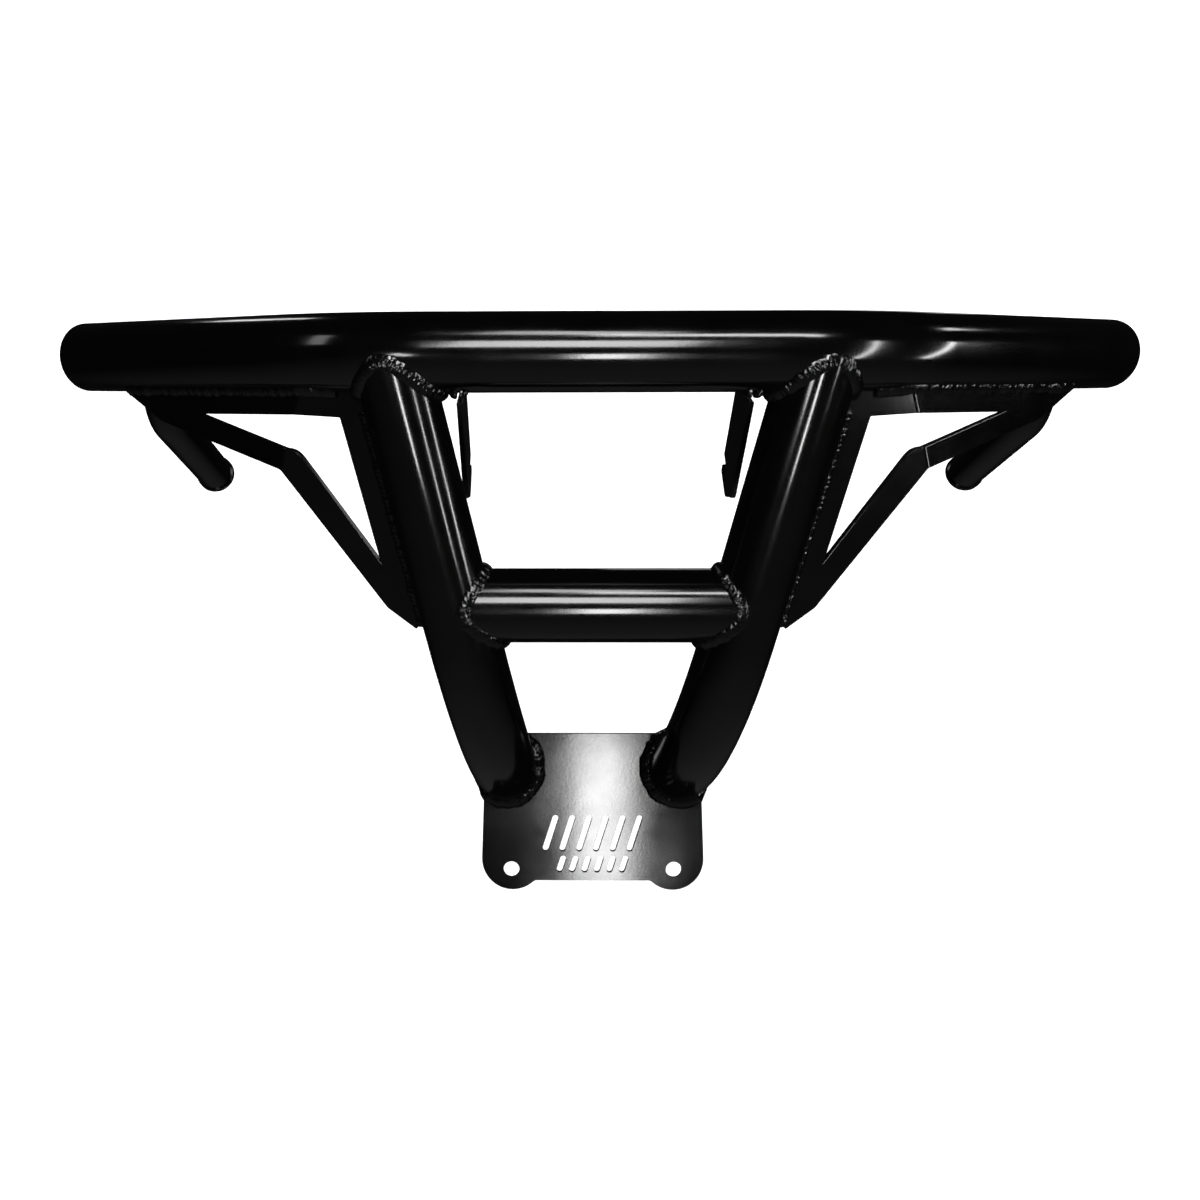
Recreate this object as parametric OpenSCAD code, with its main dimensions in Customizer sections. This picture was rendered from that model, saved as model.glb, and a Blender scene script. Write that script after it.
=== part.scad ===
// Front bumper for a quad bike: welded steel tube and plate, powder coated.
// The origin is the point midway between the two mounting holes, on the
// rear face of the mount plate. X runs to the right seen from the front,
// Y runs back toward the vehicle and Z runs up.

/* [Main tube] */
// Outer diameter of the top tube, the legs and the cross tube
tube_d = 44.5; // [38:0.5:50]
// Wall of the top tube, the legs and the cross tube
tube_wall = 2.6; // [1.6:0.1:4]
// Distance from the middle to the corner of each sweep
bend_x = 146.3; // [140:0.5:160]
// Angle that each end sweeps back by
sweep_angle = 34; // [30:0.5:38]
// Angle that the plane of the sweeps rises by toward the rear
sweep_rise = 11; // [6:0.5:14]
// Bend radius of the top tube, on its centreline
sweep_bend_r = 152; // [120:2:170]
// Length from the corner of a sweep to the tube's end
sweep_len = 232; // [215:1:260]
// Thickness of the disc that closes each tube end
end_disc_t = 3; // [2:0.5:5]

/* [Legs] */
// Distance from the middle to a leg where its axis meets the top tube's
leg_top_x = 121; // [116:0.5:124]
// Angle that each leg leans in by, seen from the front
leg_splay = 12.8; // [11:0.1:14]
// Angle that the legs lean back by
leg_lean = 19; // [15:0.5:22]
// Length from the top tube's axis to the corner of a leg's bend
leg_len = 246; // [236:1:256]
// Bend radius of the legs, on their centreline
leg_bend_r = 146; // [120:1:150]
// Angle that the legs turn back by at the bend
leg_turn = 52; // [46:0.5:56]
// Angle that the bend is turned out by about the leg's axis
leg_twist = 4.1; // [0:0.1:8]
// Height that the tip of a coped end is left blunt by
cope_tip = 3; // [2:0.5:5]
// Height of the cross tube's axis under the top tube's
cross_drop = 141; // [125:1:150]

/* [Mount plate] */
// Distance from the top tube's axis back to the plate's front face
plate_y = 156.5; // [150:0.5:165]
// Thickness of the plate
plate_t = 4.8; // [3:0.1:8]
// Width of the plate at its top edge
plate_top_w = 148; // [146:1:150]
// Height of the plate above the line of the holes
plate_rise = 94; // [85:1:100]
// Depth of the plate's lower edge under the line of the holes
plate_foot = 7.5; // [5:0.5:9]
// Height of the top tube's axis above the line of the holes
tube_rise = 324; // [315:1:330]
// Radius of the two ears
ear_r = 21.3; // [19:0.1:23]
// Distance from the middle to the centre of an ear
ear_x = 55.1; // [53:0.1:58]
// Height of the ear centres above the line of the holes
ear_rise = 7.5; // [5:0.5:9]
// Radius of the fillet between an ear and the lower edge
ear_fillet_r = 4; // [2:0.5:6]
// Radius of the plate's top corners
plate_corner_r = 6; // [3:0.5:10]
// Distance between the two mounting holes
hole_spacing = 112; // [106:0.5:116]
// Diameter of the mounting holes
hole_d = 11; // [8:0.5:13]

/* [Slots] */
// Slots in the upper row
upper_slots = 6; // [4:1:7]
// Distance between slots in the upper row
upper_pitch = 11.6; // [11:0.1:12.5]
// Height of the upper row's slots
upper_h = 25; // [18:0.5:27]
// Slots in the lower row
lower_slots = 6; // [4:1:7]
// Distance between slots in the lower row
lower_pitch = 8.6; // [8:0.1:10]
// Height of the lower row's slots
lower_h = 11.5; // [9:0.5:12.5]
// Width of a slot
slot_w = 4.2; // [2:0.1:5]
// Angle that the slots lean over by
slot_lean = 18; // [0:1:24]
// Height of the line between the two rows above the line of the holes
slot_rise = 11; // [9:0.5:14]
// Gap between the two rows of slots
slot_gap = 3; // [2:0.5:5]

/* [Gussets] */
// Thickness of the gusset plate
gusset_t = 4.8; // [3:0.1:6]
// Angle that the gusset's inner half turns back by from the leg
gusset_turn = 8; // [4:0.5:10]
// Distance that the outer half lies in front of the sweep's axis
gusset_set = 6; // [4:0.5:10]
// Width of the strip beside the leg
gusset_leg_strip = 15; // [12:0.5:18]
// Depth of the window's upper edge under the leg's start, at the leg
window_top = 29.3; // [27:0.1:33]
// Depth of the window's upper edge at the fold
window_top_fold = 26.5; // [24:0.5:30]
// Depth of the window's elbow at the fold
window_elbow = 45.5; // [40:0.5:50]
// Depth of the window's lower point at the leg
window_low = 118; // [100:1:125]
// Distance along the sweep to the window's outer point
window_out = 113; // [100:1:120]
// Depth of the window's outer point under the sweep's axis
window_out_drop = 35.2; // [33:0.1:37]
// Depth of the gusset's outer corner at the fold
gusset_corner = 53.5; // [50:0.5:58]
// Distance along the sweep to the start of the gusset's tip
gusset_out = 150; // [140:1:156]
// Depth of the start of the gusset's tip under the sweep's axis
gusset_out_drop = 40.3; // [38:0.1:44]
// Distance along the sweep to the end of the gusset's tip
gusset_tip = 184; // [176:1:190]
// Distance from the leg's axis to the start of the lower tip
gusset_low_x = 41; // [36:0.5:44]
// Depth of the start of the lower tip
gusset_low = 146.5; // [135:0.5:150]
// Size of the gusset's cut corner, where the leg's weld passes
corner_relief = 9; // [8:0.5:11]
// Depth of the gusset's lower end
gusset_end = 163; // [156:0.5:170]
// Radius of the window's elbow
elbow_r = 7; // [3:0.5:9]

/* [Stays] */
// Outer diameter of the stays
stay_d = 25.4; // [22:0.1:28]
// Wall of the stays
stay_wall = 3; // [2:0.1:4]
// Distance from the middle to the stays
stay_x = 281; // [276:0.5:286]
// Distance behind the top tube's middle at which a stay starts
stay_start_y = 100; // [98:0.5:104]
// Height of a stay's start above the top tube's axis
stay_start_rise = 8; // [4:0.5:12]
// Distance behind the top tube's middle to the corner of a stay's bend
stay_corner_y = 107; // [105:0.5:110]
// Depth of the corner of a stay's bend under the top tube's axis
stay_corner_drop = 17; // [14:0.5:20]
// Distance behind the top tube's middle to a stay's end
stay_end_y = 224; // [200:1:250]
// Angle that a stay drops by toward the rear
stay_drop = 12; // [8:0.5:16]
// Bend radius of the stays, on their centreline
stay_bend_r = 30; // [24:1:34]
// Diameter of the collar on the bung in a stay's end
bung_d = 27.6; // [26:0.1:32]
// Length of the collar
bung_collar = 5; // [3:0.5:8]
// Length of the bung inside the stay
bung_len = 22; // [15:1:30]
// Bore of the bung
bung_bore = 10; // [8:0.5:12]

/* [Hook tabs] */
// Thickness of the tabs
tab_t = 3.2; // [2:0.1:5]
// Distance from the middle to each tab
tab_x = 82; // [76:0.5:82.5]
// Angle that the tabs hang down by toward the rear
tab_drop = 38; // [34:0.5:42]
// Length of a tab from the top tube's underside to the hook's tip
tab_len = 103; // [90:1:110]
// Width of a tab
tab_w = 40; // [34:0.5:44]
// Length that the tab's front edge is shorter by
tab_slant = 20; // [14:1:26]
// Radius of the corners at the tab's lower end
tab_round_r = 8; // [5:0.5:10]
// Radius of the hook's tip
hook_tip_r = 2.5; // [1.5:0.5:3]
// Half the width of the hook's mouth
hook_r = 4.5; // [3:0.5:5]
// Depth of the hook's mouth
hook_depth = 11.5; // [9:0.5:14]
// Distance from the hook's tip back to the middle of its mouth
hook_back = 10.5; // [9:0.5:13]

/* [Welds] */
// Length of the legs of the fillet welds on the main tubes
weld_s = 5.5; // [4:0.5:7]
// Length of the legs of the fillet welds at the mount plate
foot_weld_s = 7; // [5:0.5:8]
// Length of the legs of the fillet welds on gussets and stays
plate_weld_s = 4.5; // [3:0.5:5.5]
// Length of the legs of the fillet welds on the tabs
tab_weld_s = 3.5; // [2.5:0.1:3.8]
// Share of its leg length that a weld's face bulges by
weld_bulge = 0.16; // [0:0.02:0.3]
// Clearance between a weld, a disc or a bung and the walls that it joins
seat = 0.06; // [0.02:0.01:0.2]

/* [Hidden] */
$fn = 96;

coat = [0.05, 0.05, 0.055];
weld_coat = [0.10, 0.10, 0.11];

tube_r = tube_d / 2;
bore_r = tube_r - tube_wall;
stay_r = stay_d / 2;
reach_past = 2 * sweep_len;
over = 1;
lap = 0.3;
lap_step = 0.1;
past_fold = 4 * gusset_t;
weld_steps = 60;
// Shares of a weld's leg length that place the crown points of its face
crown_near = 0.36;
crown_far = 0.64;
// Share of a bar's radius at which the root of the weld around it is taken
root_share = 0.97;
// Angle that a tab's weld starts ahead of level, and the angle that it runs round the tube
tab_weld_ahead = 4;
tab_weld_run = 84;

sweep_tangent = sweep_bend_r * tan(sweep_angle / 2);
bend_centre = [bend_x - sweep_tangent, sweep_bend_r];
leg_tangent = leg_bend_r * tan(leg_turn / 2);

// Turns of a vector about one axis
function turn_x(v, a) = [v.x, v.y * cos(a) - v.z * sin(a), v.y * sin(a) + v.z * cos(a)];
function turn_y(v, a) = [v.x * cos(a) + v.z * sin(a), v.y, v.z * cos(a) - v.x * sin(a)];
function turn_z(v, a) = [v.x * cos(a) - v.y * sin(a), v.x * sin(a) + v.y * cos(a), v.z];

// Directions that are given in a leg's, a sweep's or a gusset's own frame
function leg_vector(v) = turn_x(turn_y(v, leg_splay), leg_lean);
function gusset_vector(v) = leg_vector(turn_z(v, gusset_turn));
function sweep_vector(v) = turn_x(turn_z(v, sweep_angle), sweep_rise);

leg_top = [leg_top_x, 0, 0];
sweep_corner = [bend_x, 0, 0];
leg_axis = leg_vector([0, 0, -1]);

// A leg's foot: its last straight runs along foot_axis and meets the plate at foot_point
leg_corner = leg_top + leg_len * leg_axis;
foot_axis = leg_vector(turn_z([0, sin(leg_turn), -cos(leg_turn)], -leg_twist));
foot_point = leg_corner + (plate_y - leg_corner.y) / foot_axis.y * foot_axis;
foot_side = leg_vector(turn_z([1, 0, 0], -leg_twist));
foot_up = cross(foot_axis, foot_side);

// The cross tube's axis lies in the plane of the legs
cross_at = [0, cross_drop * tan(leg_lean), -cross_drop];
cross_leg_x = leg_top_x - cross_drop * tan(leg_splay) / cos(leg_lean);

// The gusset folds where the plane of its inner half meets that of its outer half
inner_x = gusset_vector([1, 0, 0]);
inner_z = gusset_vector([0, 0, 1]);
outer_x = sweep_vector([1, 0, 0]);
outer_y = sweep_vector([0, 1, 0]);
outer_z = sweep_vector([0, 0, 1]);
outer_start = sweep_corner - gusset_set * outer_y;
function fold_q(h) = -((leg_top + h * inner_z - outer_start) * outer_y) / (inner_x * outer_y);
function fold_point(h) = leg_top + fold_q(h) * inner_x + h * inner_z;
function fold_out(h) = [(fold_point(h) - outer_start) * outer_x, (fold_point(h) - outer_start) * outer_z];

// The stay's corner and first direction, in the plane that it lies in
stay_top = [stay_x, stay_start_y, stay_start_rise];
stay_corner = [stay_x, stay_corner_y, -stay_corner_drop];
stay_fall = atan2(stay_top.z - stay_corner.z, stay_corner.y - stay_top.y);
stay_turn = stay_fall - stay_drop;
stay_tangent = stay_bend_r * tan(stay_turn / 2);
stay_first = [0, cos(stay_fall), -sin(stay_fall)];
stay_last = (stay_end_y - stay_corner_y) / cos(stay_drop);

// Moves what is built from the top tube's middle to the frame of the mounting holes
module from_tube() {
    translate([0, -plate_y - plate_t, tube_rise]) children();
}

module mirror_left() {
    mirror([1, 0, 0]) children();
}

module leg_frame() {
    translate(leg_top) rotate([leg_lean, 0, 0]) rotate([0, leg_splay, 0]) children();
}

module sweep_frame() {
    rotate([sweep_rise, 0, 0]) translate(sweep_corner) rotate([0, 0, sweep_angle]) children();
}

// A bend that starts at the origin, heads down and turns toward the rear
module bend_bar(bend_r, angle, r) {
    translate([0, bend_r, 0]) rotate([-90, 0, 0]) rotate([0, 90, 0])
        rotate_extrude(angle = angle) translate([bend_r, 0]) circle(r = r);
}

// A straight that laps into the bend before it, a hair thinner so that it stays inside
module straight_bar(h, r) {
    translate([0, 0, -lap]) cylinder(h = h + lap, r = r - lap_step);
}

// The top tube as a solid bar
module top_bar(r, past = 0) {
    half = bend_x - sweep_tangent + lap;
    rotate([sweep_rise, 0, 0]) {
        rotate([0, 90, 0]) cylinder(h = 2 * half, r = r - lap_step, center = true);
        for (side = [0, 1]) mirror([side, 0, 0]) translate([bend_x - sweep_tangent, 0, 0]) {
            translate([0, sweep_bend_r, 0]) rotate([0, 0, -90])
                rotate_extrude(angle = sweep_angle) translate([sweep_bend_r, 0]) circle(r = r);
            translate([sweep_bend_r * sin(sweep_angle), sweep_bend_r * (1 - cos(sweep_angle)), 0])
                rotate([0, 0, sweep_angle]) rotate([0, 90, 0])
                    straight_bar(sweep_len - sweep_tangent + past, r);
        }
    }
}

// Where a leg's bend starts, turned the way the leg bends
module leg_bend_frame() {
    leg_frame() translate([0, 0, leg_tangent - leg_len]) rotate([0, 0, -leg_twist]) children();
}

// A leg as a solid bar that runs on past the plate
module leg_bar(r, past = 0) {
    leg_bend_frame() {
        translate([0, 0, -lap])
            cylinder(h = leg_len - leg_tangent - cope_tip + lap + past, r = r - lap_step);
        bend_bar(leg_bend_r, leg_turn, r);
        translate([0, leg_bend_r * (1 - cos(leg_turn)), -leg_bend_r * sin(leg_turn)])
            rotate([180 + leg_turn, 0, 0]) straight_bar(leg_len / 2, r);
    }
}

// Everything behind the plate's front face
module behind_plate() {
    translate([-reach_past, plate_y, -reach_past]) cube(2 * reach_past);
}

module top_tube() {
    color(coat) from_tube() difference() {
        top_bar(tube_r);
        top_bar(bore_r, over);
    }
}

module end_disc() {
    color(coat) from_tube() sweep_frame() translate([sweep_len - end_disc_t, 0, 0]) rotate([0, 90, 0])
        cylinder(h = end_disc_t, r = bore_r - lap_step - seat);
}

module leg() {
    color(coat) from_tube() difference() {
        leg_bar(tube_r);
        leg_bar(bore_r, over);
        top_bar(tube_r);
        behind_plate();
    }
}

module cross_bar(r, half) {
    translate(cross_at) rotate([0, 90, 0]) cylinder(h = 2 * half, r = r, center = true);
}

module cross_tube() {
    color(coat) from_tube() difference() {
        cross_bar(tube_r, cross_leg_x - cope_tip);
        cross_bar(bore_r, cross_leg_x);
        leg_bar(tube_r);
        mirror_left() leg_bar(tube_r);
    }
}

// Points of an arc from one angle to another
function arc(centre, r, from, to, steps = 24) =
    [for (i = [0 : steps]) let (f = from + (to - from) * i / steps) centre + r * [cos(f), sin(f)]];

// The plate's outline in X and Z, from the line of the holes
module plate_outline() {
    ear = [ear_x, ear_rise];
    corner = [plate_top_w / 2 - plate_corner_r, plate_rise - plate_corner_r];
    fillet_drop = ear_rise + ear_fillet_r + plate_foot;
    fillet = [ear_x - sqrt(pow(ear_r + ear_fillet_r, 2) - pow(fillet_drop, 2)), -plate_foot - ear_fillet_r];
    fillet_angle = atan2(fillet_drop, ear.x - fillet.x);
    run = corner - ear;
    side_angle = atan2(run.y, run.x) - acos((ear_r - plate_corner_r) / norm(run));
    half = concat(
        arc(fillet, ear_fillet_r, 90, fillet_angle, 8),
        arc(ear, ear_r, fillet_angle - 180, side_angle),
        arc(corner, plate_corner_r, side_angle, 90, 8)
    );
    polygon(concat(half, [for (i = [len(half) - 1 : -1 : 0]) [-half[i].x, half[i].y]]));
}

// One leaning slot with round ends, standing on its lower end
module slot(h) {
    run = (h - slot_w) / cos(slot_lean);
    rotate([0, 0, -slot_lean]) {
        translate([-slot_w / 2, 0]) square([slot_w, run]);
        circle(d = slot_w);
        translate([0, run]) circle(d = slot_w);
    }
}

module slot_row(count, pitch, h) {
    lean_run = (h - slot_w) * tan(slot_lean);
    for (i = [0 : count - 1])
        translate([(i - (count - 1) / 2) * pitch - lean_run / 2, slot_w / 2]) slot(h);
}

module mount_plate() {
    color(coat) rotate([90, 0, 0]) linear_extrude(plate_t) difference() {
        plate_outline();
        for (side = [-1, 1]) translate([side * hole_spacing / 2, 0]) circle(d = hole_d);
        translate([0, slot_rise + slot_gap / 2]) slot_row(upper_slots, upper_pitch, upper_h);
        translate([0, slot_rise - slot_gap / 2 - lower_h]) slot_row(lower_slots, lower_pitch, lower_h);
    }
}

// Everything behind the front face of the gusset's inner or outer half
module behind_inner() {
    leg_frame() rotate([0, 0, gusset_turn]) translate([-reach_past, -gusset_t / 2, -reach_past])
        cube(2 * reach_past);
}

module behind_outer() {
    sweep_frame() translate([-reach_past, -gusset_set - gusset_t / 2, -reach_past]) cube(2 * reach_past);
}

module inner_half() {
    window_x = tube_r + gusset_leg_strip;
    leg_frame() rotate([0, 0, gusset_turn]) rotate([90, 0, 0])
        linear_extrude(gusset_t, center = true) difference() {
            polygon([[tube_r / 2, 0], [fold_q(0) + gusset_t, 0],
                [fold_q(-gusset_corner) + gusset_t, -gusset_corner + gusset_t],
                [fold_q(-gusset_corner), -gusset_corner], [gusset_low_x, -gusset_low],
                [tube_r + plate_weld_s, -gusset_end], [tube_r / 2, -gusset_end]]);
            polygon([[window_x, -window_top], [fold_q(-window_top_fold) + past_fold, -window_top_fold],
                [fold_q(-window_elbow) + past_fold, -window_elbow],
                [fold_q(-window_elbow) - elbow_r / 3, -window_elbow],
                [fold_q(-window_elbow) - elbow_r, -window_elbow - elbow_r],
                [window_x, -window_low]]);
        }
}

module outer_half() {
    corner = fold_out(-gusset_corner);
    elbow = fold_out(-window_elbow);
    window_corner = fold_out(-window_top_fold);
    sweep_frame() translate([0, -gusset_set, 0]) rotate([90, 0, 0])
        linear_extrude(gusset_t, center = true) difference() {
            polygon([[corner.x - gusset_t, 0], [gusset_tip, 0], [gusset_tip, -tube_r],
                [gusset_out, -gusset_out_drop], corner, [corner.x - gusset_t, corner.y]]);
            polygon([[window_corner.x - past_fold, window_corner.y], window_corner,
                [window_out, -window_out_drop], elbow, [elbow.x - past_fold, elbow.y]]);
        }
}

module gusset() {
    color(coat) from_tube() difference() {
        union() {
            intersection() {
                inner_half();
                behind_outer();
            }
            intersection() {
                outer_half();
                behind_inner();
            }
        }
        top_bar(tube_r);
        leg_bar(tube_r);
        leg_frame() translate([0, 0, -tube_r - corner_relief])
            cylinder(h = tube_r + corner_relief, r = tube_r + corner_relief);
    }
}

// A stay as a solid bar that starts inside the top tube
module stay_bar(r, past = 0) {
    start = norm(stay_corner - stay_top) - stay_tangent;
    translate(stay_top + start * stay_first) rotate([90 - stay_fall, 0, 0]) {
        translate([0, 0, -lap]) cylinder(h = start + lap + past, r = r - lap_step);
        bend_bar(stay_bend_r, stay_turn, r);
        translate([0, stay_bend_r * (1 - cos(stay_turn)), -stay_bend_r * sin(stay_turn)])
            rotate([180 + stay_turn, 0, 0]) straight_bar(stay_last - stay_tangent + past, r);
    }
}

module stay() {
    color(coat) from_tube() difference() {
        stay_bar(stay_r);
        stay_bar(stay_r - stay_wall, over);
        top_bar(tube_r);
        difference() {
            translate([stay_x - stay_d, 0, -stay_d * 2]) cube([2 * stay_d, 2 * plate_y, 3 * stay_d]);
            sweep_frame() translate([-reach_past, gusset_t / 2 - gusset_set, -reach_past])
                cube(2 * reach_past);
        }
    }
}

module stay_bung() {
    color(coat) from_tube() translate(stay_corner) rotate([-90 - stay_drop, 0, 0])
        translate([0, 0, stay_last]) difference() {
            union() {
                translate([0, 0, -bung_len])
                    cylinder(h = bung_len + bung_collar, r = stay_r - stay_wall - lap_step - seat);
                translate([0, 0, seat]) cylinder(h = bung_collar - seat, d = bung_d);
            }
            translate([0, 0, -bung_len - over])
                cylinder(h = bung_len + bung_collar + 2 * over, d = bung_bore);
        }
}

// The tab's outline, drawn along its front edge from under the top tube
module tab_outline() {
    difference() {
        hull() {
            translate([-tube_r, 0]) square([tube_r, tab_w]);
            translate([tab_len - tab_slant, tab_round_r]) circle(r = tab_round_r, $fn = 32);
            translate([tab_len - tab_round_r, tab_w / 2]) circle(r = tab_round_r, $fn = 32);
            translate([tab_len - hook_tip_r, tab_w - hook_tip_r]) circle(r = hook_tip_r, $fn = 32);
        }
        translate([tab_len - hook_back, tab_w - hook_depth + hook_r]) circle(r = hook_r);
        translate([tab_len - hook_back - hook_r, tab_w - hook_depth + hook_r]) square(2 * hook_r);
    }
}

module hook_tab() {
    color(coat) from_tube() difference() {
        translate([tab_x, 0, -tube_r]) rotate([90 - tab_drop, 0, 0]) rotate([0, 90, 0])
            linear_extrude(tab_t, center = true) tab_outline();
        top_bar(tube_r);
    }
}

// How far along d from q the far wall of a round bar lies, with its axis a through p
function wall_reach(q, d, p, a, r) =
    let (
        w = q - p,
        dd = d - (d * a) * a,
        ww = w - (w * a) * a,
        spread = pow(ww * dd, 2) - (dd * dd) * (ww * ww - r * r)
    )
    (sqrt(max(0, spread)) - ww * dd) / (dd * dd);

// Distance in the plane of the sweeps from a point to the top tube's centreline
function centre_offset(x, y) =
    x < bend_centre.x ? y :
    atan2(x - bend_centre.x, bend_centre.y - y) < sweep_angle ?
        sweep_bend_r - norm([x, y] - bend_centre) :
        (y * cos(sweep_angle) - (x - bend_x) * sin(sweep_angle));
function under_tube(x, y) = -sqrt(max(0, pow(tube_r + seat, 2) - pow(centre_offset(x, y), 2)));
function top_offset(p) = let (q = turn_x(p, -sweep_rise)) norm([centre_offset(q.x, q.y), q.z]);

// How far along d from q the top tube's wall lies, found by halving
function top_reach(q, d, near, far, steps = 20) =
    let (mid = (near + far) / 2)
    steps == 0 ? mid :
    top_offset(q + mid * d) < tube_r ?
        top_reach(q, d, mid, far, steps - 1) : top_reach(q, d, near, mid, steps - 1);

// Distance from a point to a leg's centreline
leg_bend_centre = [leg_bend_r, leg_tangent - leg_len];
function leg_in_plane(y, z) =
    z > leg_bend_centre.y ? y :
    atan2(leg_bend_centre.y - z, leg_bend_centre.x - y) < leg_turn ?
        leg_bend_r - norm([y, z] - leg_bend_centre) :
        y * cos(leg_turn) + (z + leg_len) * sin(leg_turn);
function leg_offset(p) =
    let (q = turn_z(turn_y(turn_x(p - leg_top, -leg_lean), -leg_splay), leg_twist))
    norm([q.x, leg_in_plane(q.y, q.z)]);

// How far along d from q a leg's wall lies, found by halving
function leg_reach(q, d, near, far, steps = 20) =
    let (mid = (near + far) / 2)
    steps == 0 ? mid :
    leg_offset(q + mid * d) < tube_r ?
        leg_reach(q, d, mid, far, steps - 1) : leg_reach(q, d, near, mid, steps - 1);

// How far along d from q the plane of the plate's front face lies
function plate_reach(q, d) = (plate_y - q.y) / d.y;

// Section of a fillet weld: toe on the bar, crown points, toe on the other wall, the wall and root
function weld_section(s, low_root, low_mid, low_toe, r) = [
    [r + seat, low_root + s],
    [r + s * (crown_near + weld_bulge), low_root + s * (crown_far + weld_bulge)],
    [r + s * (crown_far + weld_bulge), low_toe + s * (crown_near + weld_bulge)],
    [r + s, low_toe + seat],
    [r + s / 2, low_mid + seat],
    [r + seat, low_root + seat]
];

// A closed ring of sections
module ring_loft(rings) {
    n = len(rings);
    m = len(rings[0]);
    polyhedron(
        points = [for (ring = rings) each ring],
        faces = [for (i = [0 : n - 1], j = [0 : m - 1])
            [i * m + j, i * m + (j + 1) % m, ((i + 1) % n) * m + (j + 1) % m, ((i + 1) % n) * m + j]],
        convexity = 6
    );
}

// An open row of sections with flat ends
module row_loft(rings) {
    n = len(rings);
    m = len(rings[0]);
    polyhedron(
        points = [for (ring = rings) each ring],
        faces = concat(
            [for (i = [0 : n - 2], j = [0 : m - 1])
                [i * m + j, i * m + (j + 1) % m, (i + 1) * m + (j + 1) % m, (i + 1) * m + j]],
            [[for (j = [m - 1 : -1 : 0]) j], [for (j = [0 : m - 1]) (n - 1) * m + j]]
        ),
        convexity = 6
    );
}

// Weld around a round bar of radius r on axis z from start, against another bar
module saddle_weld(start, x, y, z, r, s, p, a, wall_r) {
    function side_of(f) = cos(f) * x + sin(f) * y;
    function reach(f, at) = wall_reach(start + at * side_of(f), z, p, a, wall_r);
    ring_loft([for (i = [0 : weld_steps - 1])
        let (
            f = i * 360 / weld_steps,
            root = reach(f, r * root_share),
            mid = min(reach(f, r + s / 2), root + s / 4),
            toe = min(reach(f, r + s), root + s / 2)
        )
        [for (c = weld_section(s, root, mid, toe, r)) start + c.x * side_of(f) + c.y * z]]);
}

module leg_top_weld() {
    x = leg_vector([1, 0, 0]);
    y = leg_vector([0, -1, 0]);
    s = weld_s;
    function side_of(f) = cos(f) * x + sin(f) * y;
    function reach(f, at) = top_reach(leg_top + at * side_of(f), leg_axis, 0, tube_d);
    color(weld_coat) from_tube() ring_loft([for (i = [0 : weld_steps - 1])
        let (
            f = i * 360 / weld_steps,
            root = reach(f, tube_r * root_share),
            mid = min(reach(f, tube_r + s / 2), root + s / 4),
            toe = min(reach(f, tube_r + s), root + s / 2)
        )
        [for (c = weld_section(s, root, mid, toe, tube_r)) leg_top + c.x * side_of(f) + c.y * leg_axis]]);
}

module cross_weld() {
    start = [cross_leg_x, cross_at.y, cross_at.z];
    in = [-1, 0, 0];
    s = weld_s;
    function side_of(f) = [0, sin(f), cos(f)];
    function reach(f, at) = leg_reach(start + at * side_of(f), in, 0, tube_d);
    color(weld_coat) from_tube() ring_loft([for (i = [0 : weld_steps - 1])
        let (
            f = i * 360 / weld_steps,
            root = reach(f, tube_r * root_share),
            mid = min(reach(f, tube_r + s / 2), root + s / 4),
            toe = min(reach(f, tube_r + s), root + s / 2)
        )
        [for (c = weld_section(s, root, mid, toe, tube_r)) start + c.x * side_of(f) + c.y * in]]);
}

module leg_foot_weld() {
    function side_of(f) = cos(f) * foot_side + sin(f) * foot_up;
    function reach(f, at) = plate_reach(foot_point + at * side_of(f), -foot_axis);
    color(weld_coat) from_tube() difference() {
        ring_loft([for (i = [0 : weld_steps - 1])
            let (
                f = i * 360 / weld_steps,
                root = reach(f, tube_r),
                mid = reach(f, tube_r + foot_weld_s / 2),
                toe = reach(f, tube_r + foot_weld_s)
            )
            [for (c = weld_section(foot_weld_s, root, mid, toe, tube_r))
                foot_point + c.x * side_of(f) - c.y * foot_axis]]);
        leg_bend_frame() bend_bar(leg_bend_r, leg_turn, tube_r);
    }
}

// Front face of the gusset at a place on the top tube's underside
inner_normal = turn_x(gusset_vector([0, 1, 0]), -sweep_rise);
function inner_front(x, z) =
    (-gusset_t / 2 - inner_normal.x * (x - leg_top_x) - inner_normal.z * z) / inner_normal.y;
function outer_front(x) =
    ((x - bend_x) * sin(sweep_angle) - gusset_set - gusset_t / 2) / cos(sweep_angle);
function gusset_front(x, z) = max(inner_front(x, z), outer_front(x)) - seat;
fold_x = (inner_normal.y * outer_front(0) + gusset_t / 2 - inner_normal.x * leg_top_x - inner_normal.z * tube_r)
    / (-inner_normal.x - inner_normal.y * tan(sweep_angle));

module gusset_tube_weld() {
    x_in = leg_top_x + tube_r + corner_relief;
    x_out = bend_x + gusset_tip * cos(sweep_angle);
    s = plate_weld_s;
    places = concat(
        [for (i = [0 : 7]) x_in + (fold_x - x_in) * i / 8],
        [for (i = [0 : 28]) fold_x + (x_out - fold_x) * i / 28]
    );
    color(weld_coat) from_tube() rotate([sweep_rise, 0, 0]) row_loft([for (x = places)
        let (
            y = gusset_front(x, under_tube(x, gusset_front(x, -tube_r))),
            root = under_tube(x, y)
        )
        [
            [x, y, root],
            [x, y - s / 2, under_tube(x, y - s / 2)],
            [x, y - s, under_tube(x, y - s)],
            [x, y - s * (crown_far + weld_bulge), root - s * (crown_near + weld_bulge)],
            [x, y - s * (crown_near + weld_bulge), root - s * (crown_far + weld_bulge)],
            [x, gusset_front(x, root - s), root - s]
        ]]);
}

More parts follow.
